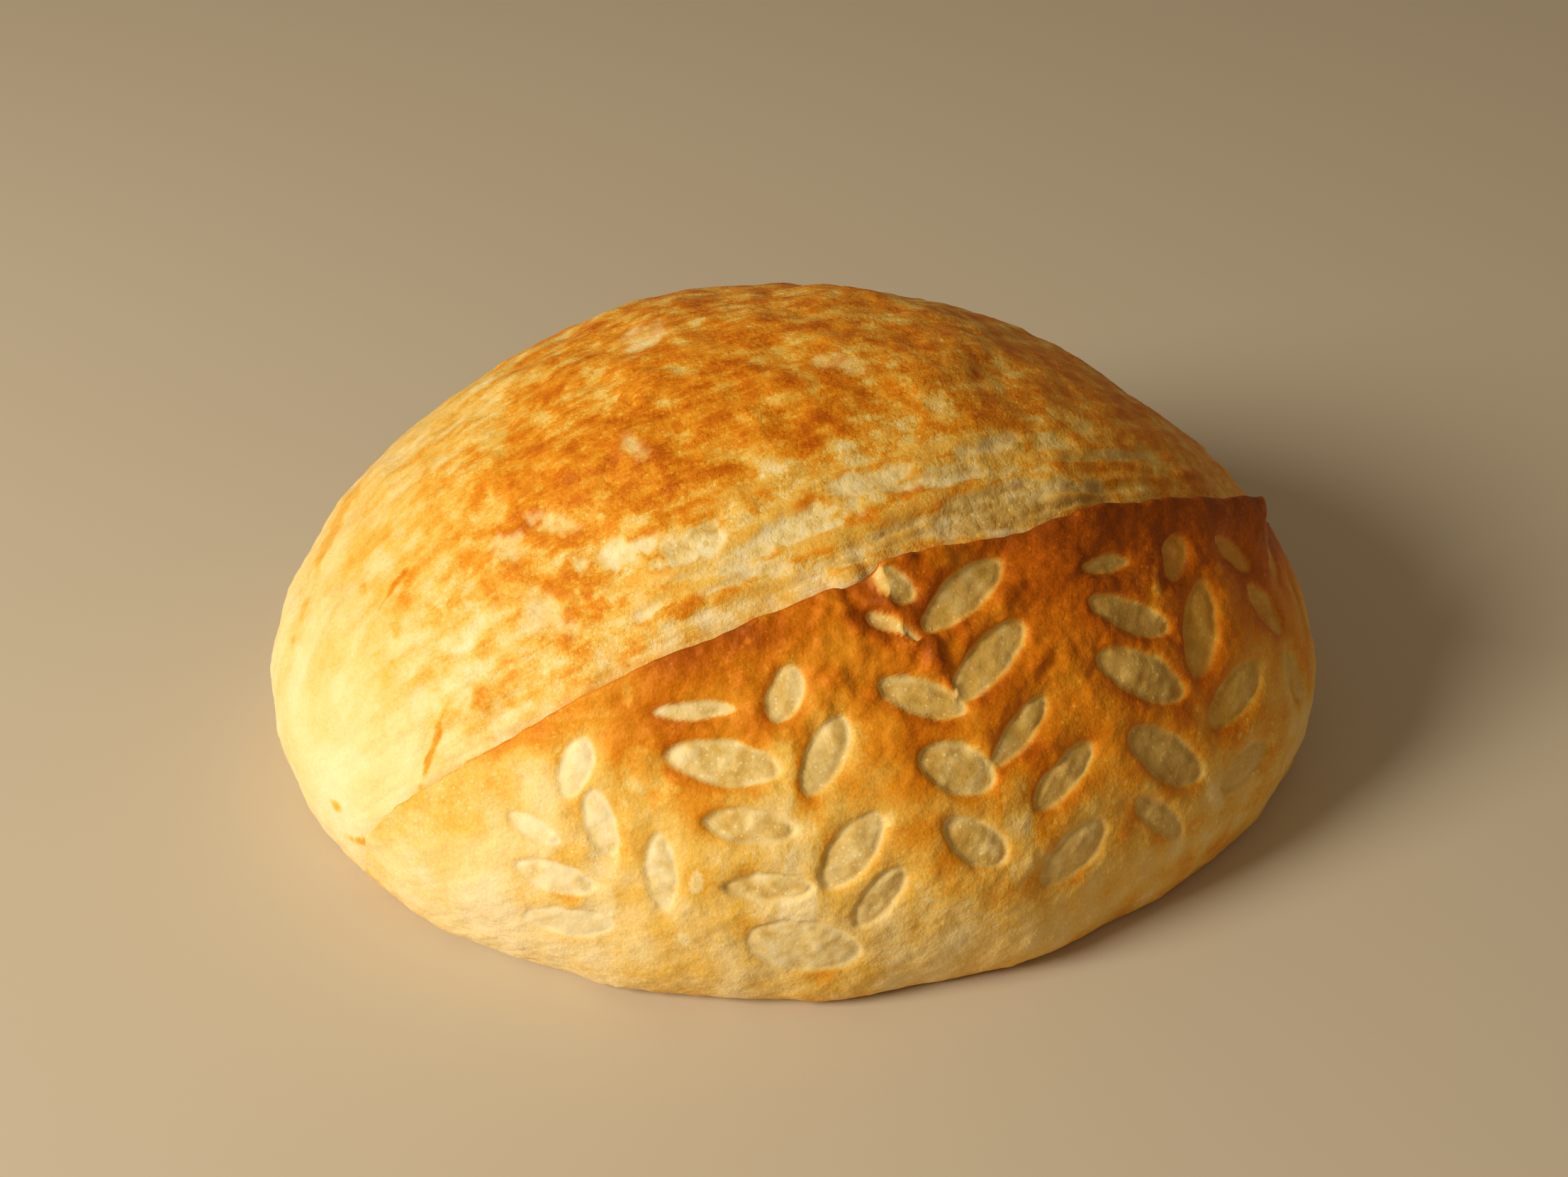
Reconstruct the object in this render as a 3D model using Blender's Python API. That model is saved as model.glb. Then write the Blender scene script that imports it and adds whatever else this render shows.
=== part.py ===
"""A round artisan loaf: one long curved score, its lower lip lifted into an ear, and leaf cuts in sprigs."""

import math

import bmesh
import bpy
from mathutils import Matrix, Vector
from mathutils.bvhtree import BVHTree

MM = 0.001

# The loaf's own sizes. X is its longer way, -Y the decorated side, Z up from the table.
LENGTH = 220 * MM
WIDTH = 187 * MM
HEIGHT = 92.5 * MM
BELLY_HEIGHT = 18 * MM
BASE_SHARE = 0.93
SHOULDER = 0.45
THREE_LOBES = 0.012
SKEW = 0.008
BELLY_RADIUS = 0.845
RIM_REACH = 0.06

# Where the dough rose fuller or less: (degrees round the loaf, height, reach, rise), in mm.
SWELLS = (
    (-150, 18, 30, -0.8),
    (-86, 6, 14, 1.2),
    (-62, 4, 12, 1.0),
    (-50, 14, 28, -2.0),
    (30, 60, 30, -0.8),
    (60, 28, 36, 1.2),
    (150, 22, 34, -1.0),
)

# The score runs along the disc that the dome is laid out on, turned by SCORE_TURN.
SCORE_TURN = math.radians(25)
SCORE_LOW = -0.35
SCORE_MIDDLE = -0.092
SCORE_CURVE = 0.24
SCORE_TAIL = 0.1175

# Lift of the lip along the score, from its left end to the horn at its right end: (place, lift).
LIP_LIFT = (
    (-0.80, 0.0 * MM),
    (-0.62, 1.0 * MM),
    (-0.50, 1.0 * MM),
    (-0.30, 2.4 * MM),
    (-0.10, 2.4 * MM),
    (-0.07, 4.5 * MM),
    (-0.02, 4.3 * MM),
    (0.06, 2.4 * MM),
    (0.18, 6.0 * MM),
    (0.32, 5.8 * MM),
    (0.45, 6.8 * MM),
    (0.52, 1.5 * MM),
    (0.66, 0.0 * MM),
)
LIP_REACH = 9 * MM
LIP_CURL = 1.3
LIP_OVERHANG = 0.35
GROOVE_DEPTH = 1.8 * MM
GROOVE_REACH = 9 * MM
GROOVE_LIFT = 3 * MM
BURST_RISE = 0.8 * MM
BURST_MIDDLE = 42 * MM
BURST_REACH = 26 * MM

# Each cut: (degrees round the loaf, height of its middle, length, width, lean from straight up), in mm.
SPRIGS = {
    "left": (
        (-112.8, 46, 13, 6.0, 8),
        (-109.0, 38.5, 13, 6.0, -20),
        (-115.6, 35.5, 11.5, 4.2, -76),
        (-112.6, 28, 16, 6.0, -84),
        (-111.2, 19, 18.5, 7.0, -98),
        (-102.4, 31.5, 15, 6.0, -8),
    ),
    "middle": (
        (-101.3, 56, 14.6, 3.4, -92),
        (-90.8, 58.5, 11.2, 6.3, 18),
        (-97.3, 49, 21.2, 8.0, -83),
        (-86.2, 50.3, 16, 7.0, 28),
        (-94.0, 40, 17, 6.4, -87),
        (-84.0, 35.5, 17, 8.0, 36),
        (-92.0, 30, 16.4, 5.4, -91),
        (-81.4, 27, 14.5, 6.4, 41),
        (-88.7, 18, 22, 11.5, -79),
    ),
    "right_of_middle": (
        (-74.9, 70.5, 10, 5.4, -43),
        (-64.4, 68, 21.5, 7.4, 70),
        (-76.3, 66, 10.5, 2.6, -78),
        (-64.0, 59.7, 21.8, 7.6, 60),
        (-74.0, 56.5, 17.6, 6.4, -67),
        (-63.3, 49.3, 17, 5.6, 52),
        (-71.6, 46, 16, 8.8, -59),
        (-59.5, 40.5, 17, 6.7, 61),
        (-71.0, 34, 15, 7.8, -49),
        (-60.3, 26.5, 17, 9.0, 62),
    ),
    "right": (
        (-40.0, 65, 12, 3.6, -69),
        (-27.9, 60.5, 10, 6.5, 43),
        (-41.2, 58, 20.4, 6.4, -51),
        (-44.4, 50, 22.4, 9.0, -44),
        (-31.5, 50.7, 20.4, 8.6, 37),
        (-45.8, 36.5, 22, 9.0, -42),
        (-31.8, 39, 19.7, 8.4, 75),
        (-48.5, 25.5, 17, 5.6, -41),
        (-34.0, 25.5, 16.2, 7.6, 84),
    ),
    "far_right": (
        (-16.6, 54.5, 13.5, 5.0, -32),
        (-17.5, 44.5, 14.4, 7.0, -17),
        (-6.0, 47, 15, 5.6, 48),
        (-18.3, 30.5, 14.6, 7.0, -17),
        (-5.5, 35, 16, 6.0, 55),
    ),
}
CUT_DEPTH = 2.2 * MM
TIP_PINCH = 0.42
CUT_SIDES = 12
SHARP_ANGLE = math.radians(40)

COLUMNS = 54
ROWS_EACH_SIDE = 24
ROW_CROWDING = 1.3
LIP_WALL = 0.006
BACK_STEP = 0.02
HALVINGS = 24
NORMAL_STEP = 0.004

CRUST_COLOUR = (0.62, 0.33, 0.09, 1)
CRUST_ROUGHNESS = 0.55


def clear_scene():
    for old in list(bpy.data.objects):
        bpy.data.objects.remove(old)


def collection(name):
    made = bpy.data.collections.new(name)
    bpy.context.scene.collection.children.link(made)
    return made


def between_knots(knots, place):
    """Smooth value at a place among (place, value) knots, level before the first and after the last."""
    if place <= knots[0][0]:
        return knots[0][1]
    for (start, low), (end, high) in zip(knots, knots[1:]):
        if place <= end:
            share = (place - start) / (end - start)
            return low + (high - low) * share * share * (3 - 2 * share)
    return knots[-1][1]


def bump(distance, reach):
    """1 at distance 0, falling away like a bell over the reach."""
    return math.exp(-((distance / reach) ** 2))


def plan_share(around):
    return 1 + THREE_LOBES * math.cos(3 * around) + SKEW * math.sin(2 * around)


def dome_point(radius, around):
    """The smooth dome: radius 0 is its crown, BELLY_RADIUS its widest line, 1 the rim that it stands on."""
    if radius <= BELLY_RADIUS:
        fall = radius / BELLY_RADIUS * math.pi / 2
        spread = math.sin(fall)
        level = max(math.cos(fall), 0)
        height = BELLY_HEIGHT + (HEIGHT - BELLY_HEIGHT) * level ** (1 + SHOULDER * math.sqrt(level))
    else:
        tuck = min((radius - BELLY_RADIUS) / (1 - BELLY_RADIUS), 1) * math.pi / 2
        spread = BASE_SHARE + (1 - BASE_SHARE) * math.cos(tuck)
        height = BELLY_HEIGHT * (1 - math.sin(tuck))
    spread *= plan_share(around)
    return Vector((LENGTH / 2 * spread * math.cos(around), WIDTH / 2 * spread * math.sin(around), height))


def dome_normal(radius, around):
    """Outward direction of the dome, from two short steps along it."""
    step = NORMAL_STEP
    radius = min(max(radius, step), 1 - step)
    across = dome_point(radius + step, around) - dome_point(radius - step, around)
    along = dome_point(radius, around + step) - dome_point(radius, around - step)
    return across.cross(along).normalized()


def dome_radius(height):
    """Radius on the disc at which the dome has this height, found by halving."""
    inner, outer = 0, 1
    for _ in range(HALVINGS):
        middle = (inner + outer) / 2
        if dome_point(middle, 0).z > height:
            inner = middle
        else:
            outer = middle
    return (inner + outer) / 2


def square_to_disc(p, q):
    """A square of side 2 laid smoothly onto the unit disc."""
    return p * math.sqrt(1 - q * q / 2), q * math.sqrt(1 - p * p / 2)


def score_line(p):
    """Where the score crosses column p of the square, solved by repeated substitution."""
    q = SCORE_LOW
    for _ in range(8):
        x = p * math.sqrt(1 - q * q / 2) - SCORE_MIDDLE
        q = (SCORE_LOW + SCORE_CURVE * x * x + SCORE_TAIL * x**3) / math.sqrt(1 - p * p / 2)
    return q


def polar(p, q):
    """Radius and direction on the dome's disc of a point of the square, which is turned with the score."""
    x, y = square_to_disc(p, q)
    return min(math.hypot(x, y), 1), math.atan2(y, x) + SCORE_TURN


def swell(point):
    """Rise of the skin at a point of the smooth dome, from every swell near it."""
    rise = 0
    for degrees_round, height, reach, top in SWELLS:
        centre = dome_point(dome_radius(height * MM), math.radians(degrees_round))
        rise += top * MM * bump((point - centre).length, reach * MM)
    return rise


def place_on_square(column, row):
    """Where a row crosses a column: row 0 on the score, and the first row behind it tight under the lip."""
    q_score = score_line(column)
    if row <= 0:
        return q_score - (1 + q_score) * abs(row) ** ROW_CROWDING
    first = 1 / ROWS_EACH_SIDE
    beyond = max(row - first, 0) / (1 - first)
    share = LIP_WALL * min(row / first, 1) + (1 - LIP_WALL) * beyond**ROW_CROWDING
    return q_score + (1 - q_score) * share


def loaf_point(column, row):
    """The loaf's skin: the dome, its swells, the lip lifted before the score and the crumb behind it."""
    radius, around = polar(column, place_on_square(column, row))
    point = dome_point(radius, around)
    score = score_line(column)
    lip = dome_point(*polar(column, score))
    distance = (point - lip).length
    lift = between_knots(LIP_LIFT, square_to_disc(column, score)[0])
    rise = swell(point)
    if row <= 0:
        curl = math.exp(-((distance / LIP_REACH) ** LIP_CURL))
        backwards = (dome_point(*polar(column, score + BACK_STEP)) - lip).normalized()
        rise += lift * curl
        point += backwards * LIP_OVERHANG * lift * curl**2
    else:
        rise += BURST_RISE * bump(distance - BURST_MIDDLE, BURST_REACH)
        rise -= GROOVE_DEPTH * min(lift / GROOVE_LIFT, 1) * bump(distance, GROOVE_REACH)
    away_from_rim = min((1 - radius) / RIM_REACH, 1)
    return point + dome_normal(radius, around) * rise * away_from_rim


def centre_over_base(bm):
    """Slide the loaf so that the middle of its box is over the origin."""
    middle = Vector((0, 0, 0))
    for axis in (0, 1):
        reach = [vert.co[axis] for vert in bm.verts]
        middle[axis] = (min(reach) + max(reach)) / 2
    bmesh.ops.translate(bm, verts=bm.verts, vec=-middle)


def make_body(target):
    """A primitive grid wrapped over the dome, its open rim closed by the flat base."""
    bm = bmesh.new()
    bmesh.ops.create_grid(bm, x_segments=COLUMNS, y_segments=2 * ROWS_EACH_SIDE, size=1)
    rim = {vert for edge in bm.edges if edge.is_boundary for vert in edge.verts}
    for vert in bm.verts:
        vert.co = loaf_point(vert.co.x, vert.co.y)
        if vert in rim:
            vert.co.z = 0
    bmesh.ops.holes_fill(bm, edges=[edge for edge in bm.edges if edge.is_boundary])
    bmesh.ops.recalc_face_normals(bm, faces=bm.faces)
    centre_over_base(bm)
    skin = BVHTree.FromBMesh(bm)
    mesh = bpy.data.meshes.new("loaf")
    bm.to_mesh(mesh)
    bm.free()
    mesh.shade_smooth()
    mesh.set_sharp_from_angle(angle=SHARP_ANGLE)
    body = bpy.data.objects.new("loaf", mesh)
    target.objects.link(body)
    return body, skin


def cut_frame(skin, degrees_round, height, lean):
    """Place and turn of one cut: X along the leaf to its tip, Z out of the crust."""
    around = math.radians(degrees_round)
    radius = dome_radius(height)
    inward = -dome_normal(radius, around)
    place, outward, _, _ = skin.ray_cast(dome_point(radius, around) - inward * HEIGHT, inward)
    sideways = Vector((0, 0, 1)).cross(outward).normalized()
    uphill = outward.cross(sideways)
    tipward = uphill * math.cos(lean) + sideways * math.sin(lean)
    turn = Matrix((tipward, outward.cross(tipward), outward)).transposed()
    return Matrix.Translation(place) @ turn.to_4x4()


def make_cutter(target, name, skin, cut):
    """A ball pressed into a leaf: pinched towards both tips and as deep as the cut."""
    degrees_round, height, length, width, lean = cut
    bm = bmesh.new()
    bmesh.ops.create_uvsphere(bm, u_segments=CUT_SIDES, v_segments=CUT_SIDES // 2, radius=1)
    bmesh.ops.rotate(bm, verts=bm.verts, matrix=Matrix.Rotation(math.pi / 2, 3, "Y"))
    for vert in bm.verts:
        vert.co.y *= 1 - TIP_PINCH * vert.co.x**2
    bmesh.ops.scale(bm, verts=bm.verts, vec=(length / 2 * MM, width / 2 * MM, CUT_DEPTH))
    bmesh.ops.recalc_face_normals(bm, faces=bm.faces)
    mesh = bpy.data.meshes.new(name)
    bm.to_mesh(mesh)
    bm.free()
    cutter = bpy.data.objects.new(name, mesh)
    cutter.matrix_world = cut_frame(skin, degrees_round, height * MM, math.radians(lean))
    cutter.hide_render = True
    cutter.display_type = "WIRE"
    target.objects.link(cutter)


def crust_material():
    material = bpy.data.materials.new("crust")
    material.use_nodes = True
    shader = material.node_tree.nodes["Principled BSDF"]
    shader.inputs["Base Color"].default_value = CRUST_COLOUR
    shader.inputs["Roughness"].default_value = CRUST_ROUGHNESS
    shader.inputs["Metallic"].default_value = 0
    return material


def main():
    clear_scene()
    body, skin = make_body(collection("artisan_loaf"))
    body.data.materials.append(crust_material())
    cutters = collection("leaf_cuts")
    for sprig, cuts in SPRIGS.items():
        for number, cut in enumerate(cuts):
            make_cutter(cutters, f"cut_{sprig}_{number}", skin, cut)
    carve = body.modifiers.new("leaf_cuts", "BOOLEAN")
    carve.operation = "DIFFERENCE"
    carve.operand_type = "COLLECTION"
    carve.collection = cutters


main()
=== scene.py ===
"""The white artisan loaf as it comes to the table: a decorated flap of crust over the risen, torn crumb."""

import math

import bpy
import numpy as np
from mathutils import Matrix


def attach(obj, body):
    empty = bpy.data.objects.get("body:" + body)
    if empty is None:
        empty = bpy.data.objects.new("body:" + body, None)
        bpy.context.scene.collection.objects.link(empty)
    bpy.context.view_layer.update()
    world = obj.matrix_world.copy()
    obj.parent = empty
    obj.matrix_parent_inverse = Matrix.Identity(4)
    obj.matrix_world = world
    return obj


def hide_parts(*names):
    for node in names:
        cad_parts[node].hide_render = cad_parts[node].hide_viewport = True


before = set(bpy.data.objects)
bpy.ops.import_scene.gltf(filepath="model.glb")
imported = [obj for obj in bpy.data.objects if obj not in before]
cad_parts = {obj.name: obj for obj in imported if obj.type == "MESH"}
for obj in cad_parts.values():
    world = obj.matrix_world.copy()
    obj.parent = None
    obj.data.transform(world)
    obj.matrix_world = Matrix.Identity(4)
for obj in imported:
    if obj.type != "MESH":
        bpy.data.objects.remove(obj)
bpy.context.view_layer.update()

MM = 0.001

# The loaf's own sizes, as in the CAD model. X is its longer way, -Y the decorated side.
LENGTH = 220 * MM
WIDTH = 187 * MM
HEIGHT = 92.5 * MM
BELLY_HEIGHT = 18 * MM
BASE_SHARE = 0.93
SHOULDER = 0.45
THREE_LOBES = 0.012
SKEW = 0.008
BELLY_RADIUS = 0.845
RIM_REACH = 0.06
BOX_MIDDLE = np.array((1.29, -0.21, 0)) * MM

# Where the dough rose fuller or less: (degrees round the loaf, height, reach, rise), in mm.
SWELLS = (
    (-150, 18, 30, -0.8),
    (-86, 6, 14, 1.2),
    (-62, 4, 12, 1.0),
    (-50, 14, 28, -2.0),
    (30, 60, 30, -0.8),
    (60, 28, 36, 1.2),
    (150, 22, 34, -1.0),
)

# The score on the disc that the dome is laid out on, turned by SCORE_TURN.
SCORE_TURN = math.radians(25)
SCORE_LOW = -0.35
SCORE_MIDDLE = -0.092
SCORE_CURVE = 0.24
SCORE_TAIL = 0.1175

# Lift of the lip along the score in mm, from its left end to the horn at its right end.
LIP_LIFT = (
    (-0.80, 0.0), (-0.62, 1.0), (-0.50, 1.0), (-0.30, 2.4), (-0.12, 2.4), (-0.105, 0.8), (-0.09, 0.8),
    (-0.07, 4.5), (-0.02, 4.3),
    (0.06, 2.4), (0.18, 6.0), (0.32, 5.8), (0.45, 6.8), (0.52, 1.5), (0.66, 0.0),
)
LIP_REACH = 9 * MM
LIP_CURL = 1.3
LIP_OVERHANG = 0.35
GROOVE_DEPTH = 1.8 * MM
GROOVE_REACH = 9 * MM
GROOVE_LIFT = 3 * MM
BURST_RISE = 0.8 * MM
BURST_MIDDLE = 42 * MM
BURST_REACH = 26 * MM

# Each cut: (degrees round the loaf, height of its middle, length, width, lean from straight up), in mm.
SPRIGS = {
    "left": (
        (-112.8, 46, 12, 6.4, 8), (-109.0, 38.5, 13, 6.0, -20), (-115.6, 35.5, 11.5, 4.2, -76),
        (-112.6, 28, 16, 6.0, -84), (-111.2, 19, 18.5, 7.0, -98), (-102.4, 31.5, 15, 6.0, -8),
    ),
    "middle": (
        (-101.3, 56, 14.6, 3.4, -92), (-90.8, 58.5, 11.2, 6.3, 18), (-97.3, 49, 21.2, 8.0, -83),
        (-86.2, 50.3, 16, 7.0, 28), (-94.0, 40, 17, 6.4, -87), (-84.0, 35.5, 17, 8.0, 36),
        (-92.0, 30, 16.4, 5.4, -91), (-81.4, 27, 14.5, 6.4, 41), (-88.7, 18, 22, 11.5, -79),
    ),
    "right_of_middle": (
        (-74.9, 70.2, 10.5, 5.4, -43), (-64.4, 68, 21.5, 7.4, 70), (-76.3, 66, 10.5, 2.6, -78),
        (-64.0, 59.7, 21.8, 7.6, 60), (-74.0, 56.5, 17.6, 6.4, -67), (-63.3, 49.3, 17, 5.6, 52),
        (-71.6, 46, 16, 8.8, -59), (-59.5, 40.5, 17, 6.7, 61), (-71.0, 34, 15, 7.8, -49),
        (-60.3, 26.5, 17, 9.0, 62),
    ),
    "right": (
        (-40.0, 65, 12, 3.6, -69), (-27.9, 60.5, 10, 6.5, 43), (-41.2, 58, 20.4, 6.4, -51),
        (-44.4, 50, 22.4, 9.0, -44), (-31.5, 50.7, 20.4, 8.6, 37), (-45.8, 36.5, 22, 9.0, -42),
        (-31.8, 39, 19.7, 8.4, 75), (-48.5, 25.5, 17, 5.6, -41), (-34.0, 25.5, 16.2, 7.6, 84),
    ),
    "far_right": (
        (-16.6, 54.5, 13.5, 5.0, -32), (-17.5, 44.5, 14.4, 7.0, -17), (-6.0, 47, 15, 5.6, 48),
        (-18.3, 30.5, 14.6, 7.0, -17), (-5.5, 35, 16, 6.0, 55),
    ),
}
# Each sprig's relief, and how much crumb shows in its cuts that lean left and right, or else closed again.
SPRIG_LOOKS = {
    "left": (0.5, 0.9, 0.95), "middle": (0.85, 1.0, 0.85), "right_of_middle": (1.0, 1.0, 0.72),
    "right": (0.9, 0.85, 0.5), "far_right": (0.6, 0.45, 0.45),
}
TIP_PINCH = 0.10
LEAST_WIDTH = 0.3
LEAF_SPREAD = 1.06
LEAF_REACH_OUT = 14
PATCH_REACH_OUT = 20
FAR = 99

# Relief of a cut, in mm: the crust sinks towards it, breaks off, and the crumb floor lies below.
PILLOW_DROP = 0.9
PILLOW_REACH = 2.2
STEP_DROP = 0.8
FLOOR_CROWN = 0.25
FLOOR_TILT = 0.35
DOWN_LEFT = np.array((-0.5, 0.0, -0.87))
# Where the step, the floor and its crumb begin and are whole, in mm outwards from a cut's outline, and the halo
# round it, partly browned crust and partly painted shade, and the pale rim inside it.
STEP_EDGE = (0.21, -0.7)
FLOOR_EDGE = (0.35, -0.75)
CRUMB_EDGE = (0.2, -0.8)
HALO_MIDDLE = 0.3
HALO_REACH = 2.2
RIM_MIDDLE = -0.8
RIM_WIDTH = 0.8
FLOOR_BUBBLES = 1.5 * MM
BUBBLE_RELIEF = 0.06

# Relief of the flap's blisters and of the dome's skin, in mm.
BLISTER_RISE = 0.8
TORN_RELIEF = 0.18
STRAND_RISE = 0.25
WINDOW_DROP = 0.5
PORE_DROP = 0.35
PORE_SPACING = 2.6 * MM
BROWNED_RISE = 0.15
FLAKE_RISE = 0.55
WHOLE_RELIEF = 0.02
CREASE_DEPTH = 0.45 * MM
CREASE_REACH = 1.3 * MM

# Parts of the dome: the torn strip behind the score and the crumb in the groove, each with its span along the score,
# and the hills on top, which begin and are whole at these heights and distances from the score in mm.
TORN_MIDDLE = 14 * MM
TORN_REACH = 20 * MM
TORN_SPAN = (-0.85, -0.55, 0.5, 0.75)
GROOVE_CRUMB = 0.4
GROOVE_CRUMB_REACH = 3.5 * MM
GROOVE_CRUMB_SPAN = (-0.75, -0.5, 0.5, 0.72)
HILL_HEIGHTS = (55, 75)
HILL_DISTANCES = (20, 40)

# Unevenness in layers: (amount, wavelength in mm, seed of its random draw). Amounts of relief are in mm.
LOAF_WAVES = ((0.35, 34, 11), (0.16, 13, 12), (0.07, 5, 13), (0.03, 2.2, 14))
LIP_WAVES = ((0.16, 14, 21), (0.07, 4, 22))
LEAF_EDGE_WAVES = ((0.09, 5, 31), (0.04, 2.6, 32))
LEAF_FLOOR_WAVES = ((0.03, 2.4, 42),)
BLISTER_EDGE_WAVES = ((0.2, 4, 43),)
WRINKLE_WAVES = ((0.10, 3.2, 44), (0.05, 1.6, 45))
FLAP_BAKE_WAVES = ((0.04, 22, 51), (0.035, 8, 52))
FLAP_RIPE_WAVES = ((0.07, 4, 53),)
FLAP_BROKEN_WAVES = ((0.10, 20, 54),)
PALE_SPOT_WAVES = ((0.10, 4, 55),)
STRAND_WAVES = ((1.0, 6, 61), (0.6, 2.6, 62))
PATCH_EDGE_WAVES = ((0.22, 7, 63), (0.14, 2.6, 64))
HILL_WAVES = ((0.13, 10, 66),)
RIPE_STRAND_WAVES = ((0.12, 5, 67),)
DOME_RIPE_WAVES = ((0.08, 2.5, 68),)
DOME_BAKE_WAVES = ((0.03, 16, 71),)
# Blotches of the dome's baking: how strong, and their layers.
BLOTCHES = ((0.6, (1.6, 9, 72)), (0.5, (1.6, 4.5, 73)))
FINE_WAVES = 28

# How far the crust is baked, from 0 for cream to 1 for deep brown, by a place: height in mm, degrees round the
# loaf, or x in mm. RIPE does the same for the crumb, and DOME_BROKEN says where the dome's skin broke to flakes.
FLAP_BAKE_BY_HEIGHT = ((0, 0.38), (5, 0.32), (16, 0.25), (36, 0.44), (55, 0.61), (75, 0.61))
FLAP_BAKE_ROUND = (
    (-165, 0.0), (-135, 0.0), (-116, 0.24), (-104, 0.70), (-85, 0.80), (-70, 0.97), (-55, 1.02), (0, 1.0),
)
FLAP_LIP_ROUND = ((-150, 0.12), (-130, 0.34), (-105, 0.36), (-80, 0.15), (0, 0.04))
FLAP_RIPE_ROUND = ((-130, 0.0), (-108, 0.2), (-95, 0.52), (-70, 0.64), (-35, 0.92), (0, 0.92))
DOME_BAKE_TOP = ((-110, 0.36), (-90, 0.29), (-70, 0.32), (-48, 0.49), (0, 0.53), (60, 0.53), (110, 0.56))
DOME_BAKE_BY_SCORE = ((-110, 0.20), (-80, 0.24), (-60, 0.30), (0, 0.31), (40, 0.36), (80, 0.46))
DOME_RIPE = ((-110, 0.1), (-20, 0.3), (20, 0.42), (60, 0.85), (110, 1.0))
DOME_BROKEN = ((-110, 0.15), (-85, 0.2), (-60, 0.7), (-40, 1.0), (20, 1.0), (60, 0.7), (110, 0.6))
LIP_BAKE_REACH = 12
HORN_BAKE = 0.27
EDGE_BAKE_AND_SHADE = 0.17
BLISTER_BAKE = 0.10
FULLY_BAKED = 1.1
BROWN_PATCH_BAKE = 0.70
STRAND_BAKE = 0.37
STRAND_BAKE_RIGHT = 0.12
GOLDEN_BAKE = 0.08
TORN_BAKE = 0.045
GROOVE_RIPE = 0.25
LEAST_BROKEN = 0.12
WHOLE_BLOTCHES = 0.015
BROKEN_BLOTCHES = 0.11
# The pale left flank, by height and x in mm, and how near the score DOME_BAKE_BY_SCORE begins and is whole.
LEFT_FLANK_HEIGHTS = (15, 70)
LEFT_FLANK_X = (-75, 0)
LEFT_FLANK_BAKE = 0.25
BY_SCORE = (42, 14)

# Where patches begin and are whole, in shares of their radius.
BROWNED_FADE = (1.35, 0.6)
BLISTER_FADE = (1.3, 0.3)
PALE_FADE = (1.15, 0.85)
FLAKE_FADE = (1.04, 0.9)
STRAND_FADE = (1.3, 0.5)
WINDOW_FADE = (1.3, 0.72)
GOLDEN_FADE = (2.1, 1.1)

# Patches of the crust: (degrees round the loaf, height, length, width, lean, strength), in mm. BLISTERS and
# PALE_SPOTS lie on the flap, the others on the dome.
BROWNED = (
    (-132, 82.4, 52, 25, -115, 0.20), (-141, 73.8, 13, 7, -53, 0.25), (-135, 77.0, 13, 8, -126, 0.30),
    (-132, 82.4, 18, 9, -48, 0.22), (-123, 83.6, 17, 8, -32, 0.26), (-149, 87.9, 9, 9.6, -129, 0.26),
    (-123, 87.4, 8, 5, -94, 0.26), (-126, 90.6, 11, 9, -99, 0.34), (-178, 91.3, 16, 3.6, -158, 0.30),
    (-90, 86.1, 8, 7, -83, 0.42), (-105, 88.6, 13, 5.3, -12, 0.26), (-176, 83.3, 14, 4.5, 142, 0.26),
    (168, 85.8, 14, 4.7, 98, 0.26), (-123, 76.3, 20, 3.7, -132, 0.22), (-133, 71.2, 12, 3.0, -97, 0.22),
    (-66, 90.3, 9, 4.8, -66, 0.26), (-71, 88.3, 9, 4.3, -26, 0.22), (-6, 90.6, 24, 3.3, -34, 0.24),
    (-37, 88.7, 8, 6, -1, 0.22), (-31, 82.8, 28, 3.6, -59, 0.26), (-17, 83.3, 23, 7, -49, 0.20),
    (-21, 73.6, 23, 2.8, -53, 0.34), (-1, 66.4, 28, 15, -24, 0.12), (5, 77.0, 40, 18, 22, 0.10),
    (-67, 85.9, 8, 5.7, -70, 0.12), (-146, 56.3, 15, 3.2, -38, 0.14), (-126, 51.3, 5, 3.4, -108, 0.20),
    (-121, 65.0, 9, 4.7, -131, 0.20), (-123, 69.3, 6, 2.6, -123, 0.22), (-122, 61.0, 4, 2.0, -88, 0.30),
    (-130, 40.1, 14, 1.6, 180, 0.34), (-150, 58, 9, 1.6, -10, 0.34), (-156, 53, 5, 1.8, -87, 0.2),
    (-142, 20.2, 4, 2.2, -101, 0.3), (-138, 15.6, 9, 2.2, -112, 0.3), (-132, 65.2, 14, 8, -58, 0.16),
    (-122, 69.8, 13, 8.5, -117, 0.2), (-119, 65, 12, 6, -116, 0.2), (-113, 71.1, 14, 4, -120, 0.14),
    (-81, 78.1, 30, 2.6, -111, 0.16), (-68, 79.8, 9, 3, -109, 0.16), (-101, 75.8, 18, 2, -120, 0.14),
    (-163, 67.0, 12, 10, -179, 0.10), (-149, 69.8, 12, 4.5, -13, 0.14), (-162, 56.7, 10, 4, -173, 0.10),
    (-73, 78.4, 30, 3.5, -102, 0.10), (-50, 79.0, 14, 2.8, -82, 0.14), (-180, 48.5, 40, 7, 115, 0.16),
)
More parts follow.
